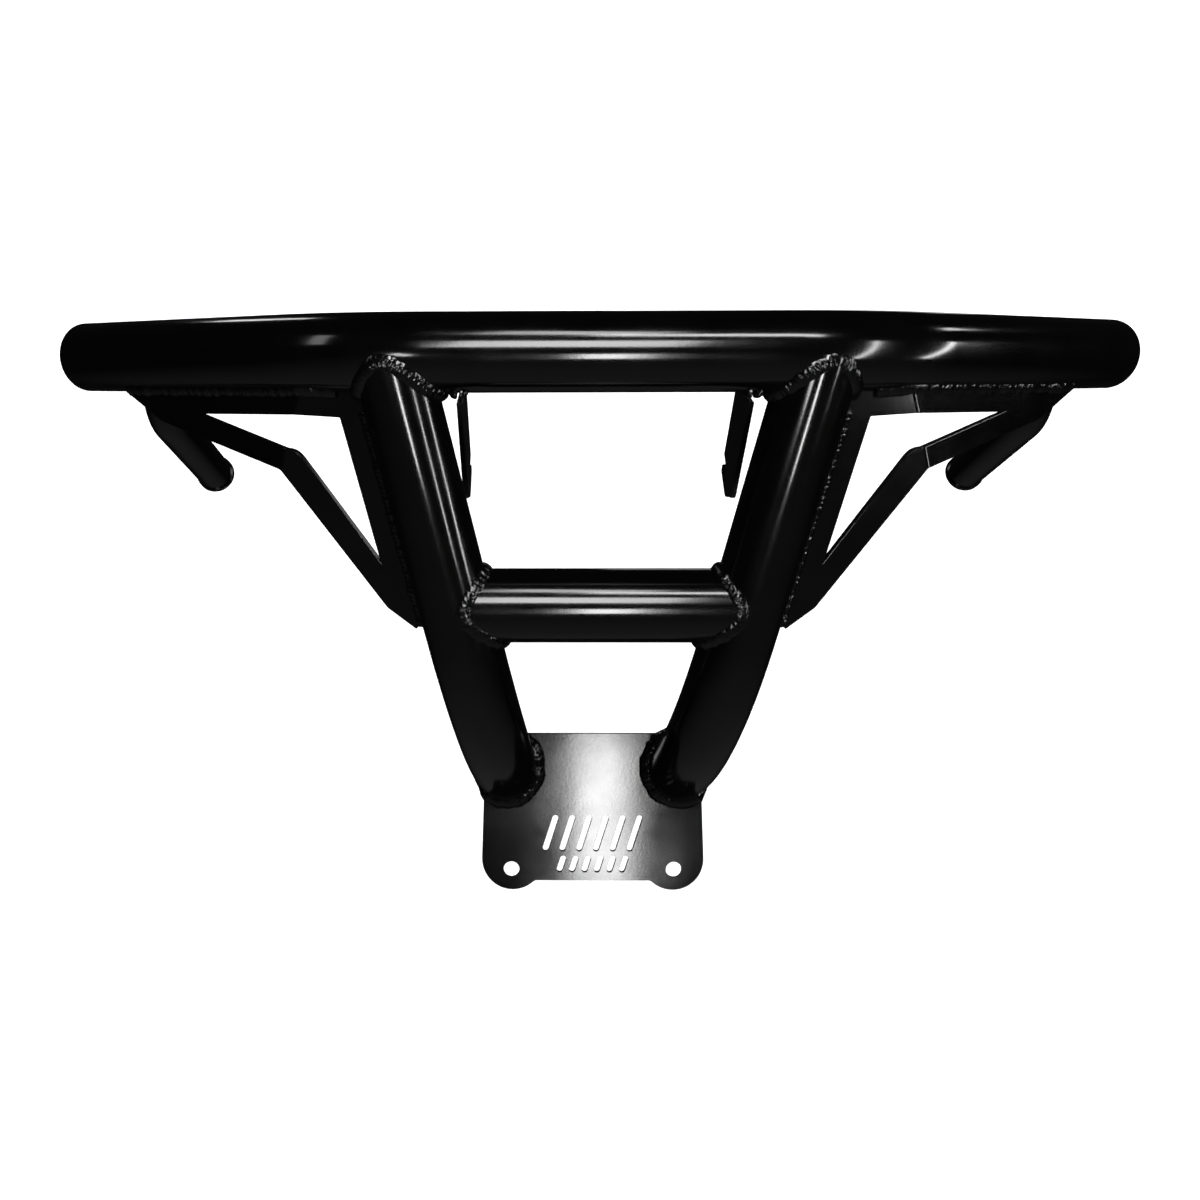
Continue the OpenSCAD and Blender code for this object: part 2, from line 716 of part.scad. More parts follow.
module gusset_leg_weld() {
    s = plate_weld_s;
    r = tube_r + seat;
    y = -gusset_t / 2 - seat;
    color(weld_coat) from_tube() leg_frame() rotate([0, 0, gusset_turn])
        translate([0, 0, -gusset_end + s / 2]) linear_extrude(gusset_end - window_top - s / 2)
            difference() {
                polygon([[r - s, y], [r + s, y], [r + s * crown_far, y - s * crown_near],
                    [r + s * crown_near, y - s * crown_far], [r, y - s]]);
                circle(r = r);
            }
}

module stay_weld() {
    color(weld_coat) from_tube() difference() {
        saddle_weld(stay_top, [1, 0, 0], cross(stay_first, [1, 0, 0]), stay_first, stay_r, plate_weld_s,
            sweep_corner, outer_x, tube_r);
        sweep_frame() translate([-reach_past, gusset_t / 2 - gusset_set + seat - 2 * reach_past, -reach_past])
            cube(2 * reach_past);
    }
}

module tab_weld() {
    s = tab_weld_s;
    color(weld_coat) from_tube() translate([tab_x, 0, 0]) for (side = [0, 1]) mirror([side, 0, 0])
        translate([tab_t / 2 + seat, 0, 0]) rotate([0, 90, 0]) rotate([0, 0, -tab_weld_ahead])
            rotate_extrude(angle = tab_weld_run) polygon([[tube_r + seat, 0], [tube_r + s, 0],
                [tube_r + s * crown_far, s * crown_near], [tube_r + s * crown_near, s * crown_far],
                [tube_r + seat, s]]);
}

top_tube();
mirror_left() end_disc();  // end_disc_left
end_disc();  // end_disc_right
mirror_left() leg();  // leg_left
leg();  // leg_right
cross_tube();
mount_plate();
mirror_left() gusset();  // gusset_left
gusset();  // gusset_right
mirror_left() stay();  // stay_left
stay();  // stay_right
mirror_left() stay_bung();  // stay_bung_left
stay_bung();  // stay_bung_right
mirror_left() hook_tab();  // hook_tab_left
hook_tab();  // hook_tab_right
mirror_left() leg_top_weld();  // leg_top_weld_left
leg_top_weld();  // leg_top_weld_right
mirror_left() cross_weld();  // cross_weld_left
cross_weld();  // cross_weld_right
mirror_left() leg_foot_weld();  // leg_foot_weld_left
leg_foot_weld();  // leg_foot_weld_right
mirror_left() gusset_tube_weld();  // gusset_tube_weld_left
gusset_tube_weld();  // gusset_tube_weld_right
mirror_left() gusset_leg_weld();  // gusset_leg_weld_left
gusset_leg_weld();  // gusset_leg_weld_right
mirror_left() stay_weld();  // stay_weld_left
stay_weld();  // stay_weld_right
mirror_left() tab_weld();  // tab_weld_left
tab_weld();  // tab_weld_right
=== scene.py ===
import math
import random

import bmesh
import bpy
from mathutils import Matrix, Vector, noise


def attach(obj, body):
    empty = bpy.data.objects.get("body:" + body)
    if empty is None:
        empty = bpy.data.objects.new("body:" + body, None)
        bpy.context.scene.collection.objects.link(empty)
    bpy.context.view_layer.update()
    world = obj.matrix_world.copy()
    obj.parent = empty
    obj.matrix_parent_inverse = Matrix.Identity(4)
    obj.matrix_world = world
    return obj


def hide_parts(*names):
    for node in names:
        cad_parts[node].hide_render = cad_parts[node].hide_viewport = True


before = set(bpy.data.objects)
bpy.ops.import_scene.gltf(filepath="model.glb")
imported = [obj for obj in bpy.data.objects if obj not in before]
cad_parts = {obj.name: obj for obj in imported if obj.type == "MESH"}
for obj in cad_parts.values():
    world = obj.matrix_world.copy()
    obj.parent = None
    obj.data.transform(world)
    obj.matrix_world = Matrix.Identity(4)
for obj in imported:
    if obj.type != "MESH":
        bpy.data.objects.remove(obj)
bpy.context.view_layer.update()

bl_info = {
    "name": "Tube Bumper Looks",
    "version": (1, 0, 0),
    "blender": (4, 5, 0),
    "location": "View3D > Sidebar > Bumper",
    "description": "Glossy coated tubes, plates and weld beads around a bumper's solids",
    "category": "Add Mesh",
}

MM = 0.001
Z = Vector((0, 0, 1))

# Place of the top tube's middle, and the sizes that the solids have, in millimetres
TUBE_AT = Vector((0, -161.3, 324)) * MM
TUBE_R = 22.25 * MM
SWEEP_X, SWEEP_ANGLE, SWEEP_RISE = 146.3 * MM, math.radians(34), math.radians(11)
SWEEP_R, SWEEP_LEN = 152 * MM, 232 * MM
LEG_X, LEG_SPLAY, LEG_LEAN = 121 * MM, math.radians(12.8), math.radians(19)
LEG_LEN, LEG_R, LEG_TURN, LEG_TWIST = 246 * MM, 146 * MM, math.radians(52), math.radians(4.1)
CROSS_DROP = 141 * MM
PLATE_Y, PLATE_T = 156.5 * MM, 4.8 * MM
GUSSET_TURN, GUSSET_SET, GUSSET_T = math.radians(8), 6 * MM, 4.8 * MM
STAY_R, STAY_X, STAY_BEND_R, STAY_DROP = 12.7 * MM, 281 * MM, 30 * MM, math.radians(12)
STAY_TOP = Vector((281, 100, 8)) * MM
STAY_CORNER = Vector((281, 107, -17)) * MM
STAY_END_Y = 224 * MM
TAB_X, TAB_T, TAB_DROP = 82 * MM, 3.2 * MM, math.radians(38)


def turn(angle, axis):
    return Matrix.Rotation(angle, 4, axis)


def shift(x=0.0, y=0.0, z=0.0):
    return Matrix.Translation((x, y, z))


TUBE = Matrix.Translation(TUBE_AT)
LEG = TUBE @ shift(LEG_X) @ turn(LEG_LEAN, "X") @ turn(LEG_SPLAY, "Y")
RISE = TUBE @ turn(SWEEP_RISE, "X")
SWEEP = RISE @ shift(SWEEP_X) @ turn(SWEEP_ANGLE, "Z")
INNER = LEG @ turn(GUSSET_TURN, "Z")
OUTER = SWEEP @ shift(y=-GUSSET_SET)
SWEEP_TANGENT = SWEEP_R * math.tan(SWEEP_ANGLE / 2)
LEG_TANGENT = LEG_R * math.tan(LEG_TURN / 2)
CROSS_AT = TUBE_AT + Vector((0, CROSS_DROP * math.tan(LEG_LEAN), -CROSS_DROP))
CROSS_LEG_X = LEG_X - CROSS_DROP * math.tan(LEG_SPLAY) / math.cos(LEG_LEAN)


# ---- Meshes ----

def finish_piece(bm, name, material, stands_for=(), smooth_below=35, flat=False):
    """Makes an object of a bmesh, shades it, and ties it to the frame; flat keeps wide faces even."""
    bmesh.ops.remove_doubles(bm, verts=bm.verts[:], dist=1e-7)
    bmesh.ops.recalc_face_normals(bm, faces=bm.faces[:])
    bm.normal_update()
    wide = [max(vert.link_faces, key=lambda face: face.calc_area()).normal.copy() for vert in bm.verts]
    mesh = bpy.data.meshes.new(name)
    bm.to_mesh(mesh)
    bm.free()
    mesh.shade_smooth()
    mesh.set_sharp_from_angle(angle=math.radians(smooth_below))
    if flat:
        mesh.normals_split_custom_set_from_vertices(wide)
    mesh.materials.append(material)
    piece = bpy.data.objects.new(name, mesh)
    bpy.context.collection.objects.link(piece)
    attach(piece, "root")
    if stands_for:
        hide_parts(*stands_for)
    return piece


def mirrored(bm, side):
    """Turns a right-hand bmesh into the left-hand one where side is -1."""
    if side < 0:
        bmesh.ops.scale(bm, vec=(-1, 1, 1), verts=bm.verts[:])
    return bm


def ring(bm, radius, place, segments=96):
    made = bmesh.ops.create_circle(bm, radius=radius, segments=segments, matrix=place)
    return list({edge for vert in made["verts"] for edge in vert.link_edges})


def go(bm, edges, step):
    """Draws a ring of edges out along a straight."""
    made = bmesh.ops.extrude_edge_only(bm, edges=edges)["geom"]
    bmesh.ops.translate(bm, vec=step, verts=[g for g in made if isinstance(g, bmesh.types.BMVert)])
    return [g for g in made if isinstance(g, bmesh.types.BMEdge)]


def bend(bm, edges, centre, axis, angle, steps=24):
    """Spins a ring of edges round a bend."""
    made = bmesh.ops.spin(bm, geom=edges, cent=centre, axis=axis, angle=angle, steps=steps)["geom_last"]
    return [g for g in made if isinstance(g, bmesh.types.BMEdge)]


def close_ends(bm, round_off=0.0):
    """Closes open rings and rounds their rims."""
    rims = [edge for edge in bm.edges if edge.is_boundary]
    bmesh.ops.holes_fill(bm, edges=rims, sides=0)
    if round_off:
        bmesh.ops.bevel(bm, geom=rims, offset=round_off, segments=3, profile=0.5, affect="EDGES", material=-1)


def arc(centre, radius, start, end, steps):
    """Points of an arc in a plane, angles in degrees."""
    out = []
    for i in range(steps + 1):
        a = math.radians(start + (end - start) * i / steps)
        out.append((centre[0] + radius * math.cos(a), centre[1] + radius * math.sin(a)))
    return out


def loop_edges(bm, points):
    """Joins points in space into a closed loop of edges."""
    verts = [bm.verts.new(p) for p in points]
    return [bm.edges.new((verts[i], verts[(i + 1) % len(verts)])) for i in range(len(verts))]


def sheet_plate(bm, loops, place, depth, round_off):
    """Fills flat loops, the first the outline, gives them depth along Z of place and rounds the edges."""
    edges = []
    for loop in loops:
        edges += loop_edges(bm, [Vector((x, y, 0)) for x, y in loop])
    bmesh.ops.triangle_fill(bm, edges=edges, use_beauty=True)
    bmesh.ops.dissolve_limit(bm, angle_limit=0.01, verts=bm.verts[:], edges=bm.edges[:])
    made = bmesh.ops.extrude_face_region(bm, geom=bm.faces[:])["geom"]
    bmesh.ops.translate(bm, vec=(0, 0, depth), verts=[g for g in made if isinstance(g, bmesh.types.BMVert)])
    bmesh.ops.recalc_face_normals(bm, faces=bm.faces[:])
    sharp = [e for e in bm.edges if len(e.link_faces) == 2 and e.calc_face_angle(0) > math.radians(50)]
    bmesh.ops.bevel(bm, geom=sharp, offset=round_off, segments=2, profile=0.5, affect="EDGES", material=-1,
                    clamp_overlap=True)
    bmesh.ops.transform(bm, matrix=place, verts=bm.verts[:])


# ---- Walls that weld beads lie on ----

class BentWall:
    """The top tube: a round wall about a centreline with two bends."""

    def __init__(self, radius):
        self.radius = radius
        self.inverse = RISE.inverted()

    def foot(self, p):
        q = self.inverse @ p
        side = -1 if q.x < 0 else 1
        x, y = abs(q.x), q.y
        centre = Vector((SWEEP_X - SWEEP_TANGENT, SWEEP_R))
        if x < centre.x:
            near = Vector((x, 0))
        elif math.atan2(x - centre.x, centre.y - y) < SWEEP_ANGLE:
            near = centre + (Vector((x, y)) - centre).normalized() * SWEEP_R
        else:
            along = Vector((math.cos(SWEEP_ANGLE), math.sin(SWEEP_ANGLE)))
            start = Vector((SWEEP_X, 0))
            near = start + along * (Vector((x, y)) - start).dot(along)
        return RISE @ Vector((side * near.x, near.y, 0))

    def normal(self, p):
        return (p - self.foot(p)).normalized()

    def depth(self, p):
        return (p - self.foot(p)).length - self.radius

    def onto(self, p, rise=0.0):
        return self.foot(p) + self.normal(p) * (self.radius + rise)


class RoundWall(BentWall):
    """A straight round wall about an axis."""

    def __init__(self, point, axis, radius):
        self.point, self.axis, self.radius = point, axis.normalized(), radius

    def foot(self, p):
        return self.point + self.axis * (p - self.point).dot(self.axis)


class FlatWall(BentWall):
    """A flat wall with its normal."""

    def __init__(self, point, normal):
        self.point, self.axis = point, normal.normalized()

    def normal(self, p):
        return self.axis

    def depth(self, p):
        return (p - self.point).dot(self.axis)

    def onto(self, p, rise=0.0):
        return p - self.axis * (self.depth(p) - rise)


def reach(start, way, wall, far):
    """The point at which a line from inside a wall leaves it."""
    low, high = 0.0, far
    for _ in range(30):
        mid = (low + high) / 2
        if wall.depth(start + way * mid) < 0:
            low = mid
        else:
            high = mid
    return start + way * low


def ring_seam(start, way, bar_r, wall, count, far):
    """Root points of the seam where a round bar leaves a wall."""
    side = way.orthogonal().normalized()
    up = way.cross(side)
    points = []
    for i in range(count):
        f = 2 * math.pi * i / count
        out = side * math.cos(f) + up * math.sin(f)
        points.append(reach(start + out * bar_r * 0.985, way, wall, far))
    return points


def eased(points, span):
    """A closed seam with its sharp turns eased over a number of points to each side."""
    n = len(points)
    return [sum((points[(i + k) % n] for k in range(-span, span + 1)), Vector()) / (2 * span + 1)
            for i in range(n)]


def resampled(points, pitch, closed):
    """Points at an even pitch along a line of points, and the line's length."""
    line = points + [points[0]] if closed else points
    lengths = [0.0]
    for a, b in zip(line, line[1:]):
        lengths.append(lengths[-1] + (b - a).length)
    count = max(8, int(lengths[-1] / pitch))
    out, k = [], 0
    for i in range(count + 1):
        want = lengths[-1] * i / count
        while k < len(line) - 2 and lengths[k + 1] < want:
            k += 1
        span = max(lengths[k + 1] - lengths[k], 1e-9)
        out.append(line[k].lerp(line[k + 1], (want - lengths[k]) / span))
    return out, lengths[-1]


def weld_bead(name, material, seam, bar, wall, size, closed, seed, stands_for=(), side=1, pitch=3.1 * MM,
              height=0.5 * MM, bulge=0.16, away=None, edge=None):
    """A bead of overlapping scales along a seam, between a bar's wall and another wall."""
    draw = random.Random(seed)
    line, length = resampled(seam, 0.42 * MM, closed)
    n = len(line) - 1
    rows = 13
    scales = int(length / pitch) + 4
    swell = [draw.uniform(0.86, 1.16) for _ in range(scales)]
    tall = [draw.uniform(0.55, 1.35) for _ in range(scales)]
    lean = [draw.uniform(-0.35, 0.35) for _ in range(scales)]

    bm = bmesh.new()
    bmesh.ops.create_grid(bm, x_segments=n, y_segments=rows + 1, size=1)
    for vert in bm.verts:
        i = int(round((vert.co.x + 1) / 2 * n))
        j = int(round((vert.co.y + 1) / 2 * (rows + 1)))
        if closed and i == n:
            i = 0
        root = line[i]
        before = line[i - 1] if i else (line[n - 1] if closed else line[0])
        after = line[i + 1] if i < n else line[n]
        along = (after - before).normalized()
        bar_n, wall_n = bar.normal(root), wall.normal(root)
        on_bar, on_wall = along.cross(bar_n).normalized(), along.cross(wall_n).normalized()
        if away is not None:
            on_bar *= 1 if on_bar.dot(away) > 0 else -1
        else:
            on_bar *= 1 if on_bar.dot(wall_n) > 0 else -1
        on_wall *= 1 if on_wall.dot(bar_n) - 0.4 * on_wall.dot(on_bar) > 0 else -1
        out = (bar_n + wall_n).normalized()

        at = length * i / n / pitch + 1
        k = int(at)
        ends = 1.0 if closed else min(1.0, 0.25 + 4 * min(i, n - i) * 0.42 * MM / size)
        blend = at - k
        spread = max(0.5, math.sin(on_bar.angle(on_wall) / 2))
        width = size / (2 * spread) * ends * (swell[k % scales] * (1 - blend) + swell[(k + 1) % scales] * blend)
        if edge is not None:
            width *= min(1.0, max(0.25, (edge - root.x) / (8 * MM)))
        toe_bar = bar.onto(root + on_bar * width, -0.15 * MM)
        toe_wall = wall.onto(root + on_wall * width, -0.15 * MM)
        if j == rows:
            vert.co = root - out * 0.3 * MM
            continue
        w = 0 if j > rows else j / (rows - 1)
        crown = (toe_bar + toe_wall) / 2 + out * (2 * bulge * width)
        point = toe_bar * (1 - w) ** 2 + crown * (2 * w * (1 - w)) + toe_wall * w ** 2
        hump = 4 * w * (1 - w)
        step = at + 0.55 * hump + lean[k % scales] * (w - 0.5)
        ripple = 1 - (step - math.floor(step)) ** 1.6
        lump = noise.noise(point / (1.7 * MM)) * 0.35 + noise.noise(point / (0.8 * MM)) * 0.15
        vert.co = point + out * (height * ends * hump ** 0.6 * (ripple * tall[int(step) % scales] + lump))
    bmesh.ops.remove_doubles(bm, verts=bm.verts[:], dist=1e-6)
    bmesh.ops.holes_fill(bm, edges=[e for e in bm.edges if e.is_boundary], sides=0)
    mirrored(bm, side)
    return finish_piece(bm, name, material, stands_for, 75)


# ---- Materials ----

class Value:
    """A node's output with arithmetic on it."""

    def __init__(self, graph, socket):
        self.graph, self.socket = graph, socket

    def _math(self, operation, a, b):
        return self.graph.node("ShaderNodeMath", {"operation": operation}, {0: a, 1: b})

    def __add__(self, other):
        return self._math("ADD", self, other)

    def __sub__(self, other):
        return self._math("SUBTRACT", self, other)

    def __mul__(self, other):
        return self._math("MULTIPLY", self, other)

    __radd__ = __add__
    __rmul__ = __mul__

    def __rsub__(self, other):
        return self._math("SUBTRACT", other, self)

    def over(self, low, high):
        """This value spread from low to high onto 0 to 1, held at the ends."""
        return self.graph.node("ShaderNodeMapRange", {"clamp": True},
                               {"Value": self, "From Min": low, "From Max": high})


class Graph:
    """A material's or the world's nodes."""

    def __init__(self, owner):
        owner.use_nodes = True
        self.tree = owner.node_tree
        self.tree.nodes.clear()

    def node(self, kind, settings=None, inputs=None, out=0):
        made = self.tree.nodes.new(kind)
        for key, value in (settings or {}).items():
            if key == "stops":
                for stop, (at, colour) in zip(made.color_ramp.elements, value):
                    stop.position, stop.color = at, colour
            else:
                setattr(made, key, value)
        for key, value in (inputs or {}).items():
            if isinstance(value, Value):
                self.tree.links.new(value.socket, made.inputs[key])
            else:
                made.inputs[key].default_value = value
        return Value(self, made.outputs[out]) if len(made.outputs) else None

    def place(self):
        return self.node("ShaderNodeTexCoord", out="Object")

    def noise(self, scale, detail=2.0, roughness=0.5):
        return self.node("ShaderNodeTexNoise", None,
                         {"Vector": self.place(), "Scale": scale, "Detail": detail, "Roughness": roughness})


def coat_material(name, colour, rough, peel_size, peel_depth, grain_depth):
    """Glossy black powder coat with orange peel over fine grain."""
    material = bpy.data.materials.new(name)
    graph = Graph(material)
    peel = graph.noise(1 / peel_size, 1.5, 0.45)
    grain = graph.noise(4.5 / peel_size, 2.0, 0.6)
    cloud = graph.noise(28, 3.0, 0.6)
    height = peel * peel_depth + grain * grain_depth
    bump = graph.node("ShaderNodeBump", None, {"Strength": 1.0, "Distance": 1.0, "Height": height})
    roughness = rough + (cloud.over(0.35, 0.7) - 0.5) * 0.05
    tint = graph.node("ShaderNodeMix", {"data_type": "RGBA"},
                      {"Factor": cloud.over(0.3, 0.75), "A": (*colour, 1),
                       "B": (colour[0] * 1.5, colour[1] * 1.5, colour[2] * 1.5, 1)}, out="Result")
    shader = graph.node("ShaderNodeBsdfPrincipled", None,
                        {"Base Color": tint, "Roughness": roughness, "IOR": 1.5, "Normal": bump})
    graph.node("ShaderNodeOutputMaterial", None, {"Surface": shader})
    return material


def materials():
    """The finishes, made once from the panel's colour and gloss."""
    looks = bpy.context.scene.bumper_looks
    colour = tuple(looks.coat_colour)
    wanted = {
        "tube coat": (0, 1.5 * MM, 0.010 * MM, 0.0015 * MM),
        "plate coat": (-0.01, 2.2 * MM, 0.009 * MM, 0.001 * MM),
        "weld coat": (0.02, 1.0 * MM, 0.030 * MM, 0.008 * MM),
    }
    for name, (rougher, size, peel, grain) in wanted.items():
        if name not in bpy.data.materials:
            coat_material(name, colour, looks.roughness + rougher, size, peel, grain)
    return [bpy.data.materials[name] for name in wanted]


# ---- Properties ----

class BumperLooks(bpy.types.PropertyGroup):
    coat_colour: bpy.props.FloatVectorProperty(
        name="Coat Colour", description="Colour of the powder coat", subtype="COLOR", size=3,
        default=(0.0006, 0.0006, 0.0006), min=0, max=1)
    roughness: bpy.props.FloatProperty(
        name="Roughness", description="Roughness of the coat's surface", default=0.13, min=0.02, max=1,
        subtype="FACTOR")
    edge_round: bpy.props.FloatProperty(
        name="Edge Round", description="Rounding of cut plate edges", default=0.5 * MM, min=0.1 * MM,
        max=1.2 * MM, unit="LENGTH")
    scale_pitch: bpy.props.FloatProperty(
        name="Weld Pitch", description="Distance between the scales of a weld bead", default=3.1 * MM,
        min=1.5 * MM, max=6 * MM, unit="LENGTH")


# ---- Operators ----

class BUMPER_OT_top_tube(bpy.types.Operator):
    """Adds the swept top tube with its closed ends"""
    bl_idname = "bumper.top_tube"
    bl_label = "Top Tube"

    def execute(self, context):
        tube_coat = materials()[0]
        bm = bmesh.new()
        edges = ring(bm, TUBE_R, turn(math.pi / 2, "Y"))
        edges = go(bm, edges, Vector((SWEEP_X - SWEEP_TANGENT, 0, 0)))
        edges = bend(bm, edges, (SWEEP_X - SWEEP_TANGENT, SWEEP_R, 0), Z, SWEEP_ANGLE)
        along = Vector((math.cos(SWEEP_ANGLE), math.sin(SWEEP_ANGLE), 0))
        edges = go(bm, edges, along * (SWEEP_LEN - SWEEP_TANGENT))
        cap = bmesh.ops.holes_fill(bm, edges=edges, sides=0)["faces"]
        rim = list({e for f in cap for e in f.edges})
        bmesh.ops.bevel(bm, geom=rim, offset=0.8 * MM, segments=4, profile=0.5, affect="EDGES", material=-1)
        bmesh.ops.mirror(bm, geom=bm.verts[:] + bm.edges[:] + bm.faces[:], axis="X", merge_dist=1e-6)
        bmesh.ops.transform(bm, matrix=RISE, verts=bm.verts[:])
        finish_piece(bm, "top_tube_skin", tube_coat, ("top_tube", "end_disc_left", "end_disc_right"))
        return {"FINISHED"}


class BUMPER_OT_legs(bpy.types.Operator):
    """Adds the two bent legs that run from the top tube to the plate"""
    bl_idname = "bumper.legs"
    bl_label = "Legs"

    def execute(self, context):
        tube_coat = materials()[0]
        for side, word in ((1, "right"), (-1, "left")):
            bm = bmesh.new()
            edges = ring(bm, TUBE_R, Matrix.Identity(4))
            down = LEG_LEN - LEG_TANGENT
            edges = go(bm, edges, Vector((0, 0, -down)))
            twist = turn(-LEG_TWIST, "Z")
            centre = twist @ Vector((0, LEG_R, -down))
            axis = twist @ Vector((1, 0, 0))
            edges = bend(bm, edges, centre, axis, LEG_TURN, 40)
            last = twist @ Vector((0, math.sin(LEG_TURN), -math.cos(LEG_TURN)))
            go(bm, edges, last * 0.05)
            bmesh.ops.transform(bm, matrix=LEG, verts=bm.verts[:])
            bmesh.ops.bisect_plane(bm, geom=bm.verts[:] + bm.edges[:] + bm.faces[:], dist=1e-7,
                                   plane_co=(0, TUBE_AT.y + PLATE_Y + 0.5 * MM, 0), plane_no=(0, 1, 0),
                                   clear_outer=True)
            close_ends(bm)
            finish_piece(mirrored(bm, side), "leg_skin_" + word, tube_coat, ("leg_" + word,))
        return {"FINISHED"}


class BUMPER_OT_cross_tube(bpy.types.Operator):
    """Adds the cross tube between the legs"""
    bl_idname = "bumper.cross_tube"
    bl_label = "Cross Tube"

    def execute(self, context):
        bm = bmesh.new()
        place = Matrix.Translation(CROSS_AT) @ shift(-CROSS_LEG_X) @ turn(math.pi / 2, "Y")
        go(bm, ring(bm, TUBE_R, place), Vector((2 * CROSS_LEG_X, 0, 0)))
        close_ends(bm)
        finish_piece(bm, "cross_tube_skin", materials()[0], ("cross_tube",))
        return {"FINISHED"}


class BUMPER_OT_mount_plate(bpy.types.Operator):
    """Adds the mounting plate with its ears, holes and slots"""
    bl_idname = "bumper.mount_plate"
    bl_label = "Mount Plate"

    def execute(self, context):
        looks = context.scene.bumper_looks
        ear, ear_r, fillet_r, foot = (55.1, 7.5), 21.3, 4.0, 7.5
        corner = (74 - 6, 94 - 6)
        drop = ear[1] + fillet_r + foot
        fillet = (ear[0] - math.sqrt((ear_r + fillet_r) ** 2 - drop ** 2), -foot - fillet_r)
        turn_at = math.degrees(math.atan2(drop, ear[0] - fillet[0]))
        run = (corner[0] - ear[0], corner[1] - ear[1])
        side_at = math.degrees(math.atan2(run[1], run[0]) - math.acos((ear_r - 6) / math.hypot(*run)))
        half = arc(fillet, fillet_r, 90, turn_at, 8) + arc(ear, ear_r, turn_at - 180, side_at, 40)[1:]
        half += arc(corner, 6, side_at, 90, 10)
        outline = half + [(-x, y) for x, y in reversed(half)]
        loops = [outline]
        for x in (-56, 56):
            loops.append(arc((x, 0), 5.5, 0, 352.5, 47))
        for count, pitch, height, low in ((6, 11.6, 25, 12.5), (6, 8.6, 11.5, -2)):
            lean = math.radians(18)
            run_up = (height - 4.2) / math.cos(lean)
            for i in range(count):
                x = (i - (count - 1) / 2) * pitch - (height - 4.2) * math.tan(lean) / 2
                shape = arc((0, run_up), 2.1, 0, 180, 10) + arc((0, 0), 2.1, 180, 360, 10)
                loops.append([(x + px * math.cos(lean) + py * math.sin(lean),
                               low + 2.1 - px * math.sin(lean) + py * math.cos(lean)) for px, py in shape])
        loops = [[(x * MM, y * MM) for x, y in loop] for loop in loops]
        bm = bmesh.new()
        sheet_plate(bm, loops, turn(math.pi / 2, "X"), PLATE_T, looks.edge_round)
        finish_piece(bm, "mount_plate_skin", materials()[1], ("mount_plate",), flat=True)
        return {"FINISHED"}


def fold_q(h):
    """Distance from the leg's axis to the gusset's fold, at a height under the leg's start."""
    inner_x, inner_z = INNER.col[0].to_3d(), INNER.col[2].to_3d()
    outer_y, start = OUTER.col[1].to_3d(), OUTER.translation
    return -((INNER.translation + inner_z * h - start).dot(outer_y)) / inner_x.dot(outer_y)


def fold_point(h):
    return INNER @ Vector((fold_q(h), 0, h))


def on_frame(place, points):
    """Points of a flat piece, given in millimetres across and up."""
    return [place @ Vector((x * MM, 0, z * MM)) for x, z in points]


class BUMPER_OT_gussets(bpy.types.Operator):
    """Adds the two folded gussets with their three-sided windows"""
    bl_idname = "bumper.gussets"
    bl_label = "Gussets"

    def execute(self, context):
        looks = context.scene.bumper_looks
        for side, word in ((1, "right"), (-1, "left")):
            bm = bmesh.new()
            joint, corner, low, high = (fold_point(h * MM) for h in (-12, -52, -40.5, -22.5))
            inner = on_frame(INNER, ((20, -8), (20, -158), (27, -163), (41, -146.5))) + [corner, low]
            inner += on_frame(INNER, ((71, -41.6), (67.8, -44), (65.8, -47.6), (37.25, -118), (37.25, -29.3)))
            inner += [high, joint]
            outer = [joint, high] + on_frame(OUTER, ((113, -35.2),)) + [low, corner]
            outer += on_frame(OUTER, ((150, -40.3), (184, -22), (184, -14)))
            for points in (inner, outer):
                bmesh.ops.triangle_fill(bm, edges=loop_edges(bm, points), use_beauty=True)
            bmesh.ops.remove_doubles(bm, verts=bm.verts[:], dist=1e-6)
            bmesh.ops.dissolve_limit(bm, angle_limit=0.02, verts=bm.verts[:], edges=bm.edges[:])
            bmesh.ops.recalc_face_normals(bm, faces=bm.faces[:])
            if sum(f.normal.y * f.calc_area() for f in bm.faces) > 0:
                bmesh.ops.reverse_faces(bm, faces=bm.faces[:])
            bm.normal_update()
            for v, out in [(v, v.normal * v.calc_shell_factor()) for v in bm.verts]:
                v.co += out * GUSSET_T / 2
            bm.normal_update()
            bmesh.ops.solidify(bm, geom=bm.faces[:], thickness=GUSSET_T)
            bmesh.ops.recalc_face_normals(bm, faces=bm.faces[:])
            sharp = [e for e in bm.edges if len(e.link_faces) == 2 and e.calc_face_angle(0) > math.radians(10)]
            folds = [e for e in sharp if e.calc_face_angle(0) < math.radians(35)]
            rims = [e for e in sharp if e not in folds]
            bmesh.ops.bevel(bm, geom=folds, offset=1.5 * MM, segments=4, profile=0.5, affect="EDGES", material=-1)
            rims = [e for e in bm.edges if len(e.link_faces) == 2 and e.calc_face_angle(0) > math.radians(50)]
            bmesh.ops.bevel(bm, geom=rims, offset=looks.edge_round, segments=2, profile=0.5, affect="EDGES",
                            material=-1)
            finish_piece(mirrored(bm, side), "gusset_skin_" + word, materials()[1], ("gusset_" + word,),
                         flat=True)
        return {"FINISHED"}


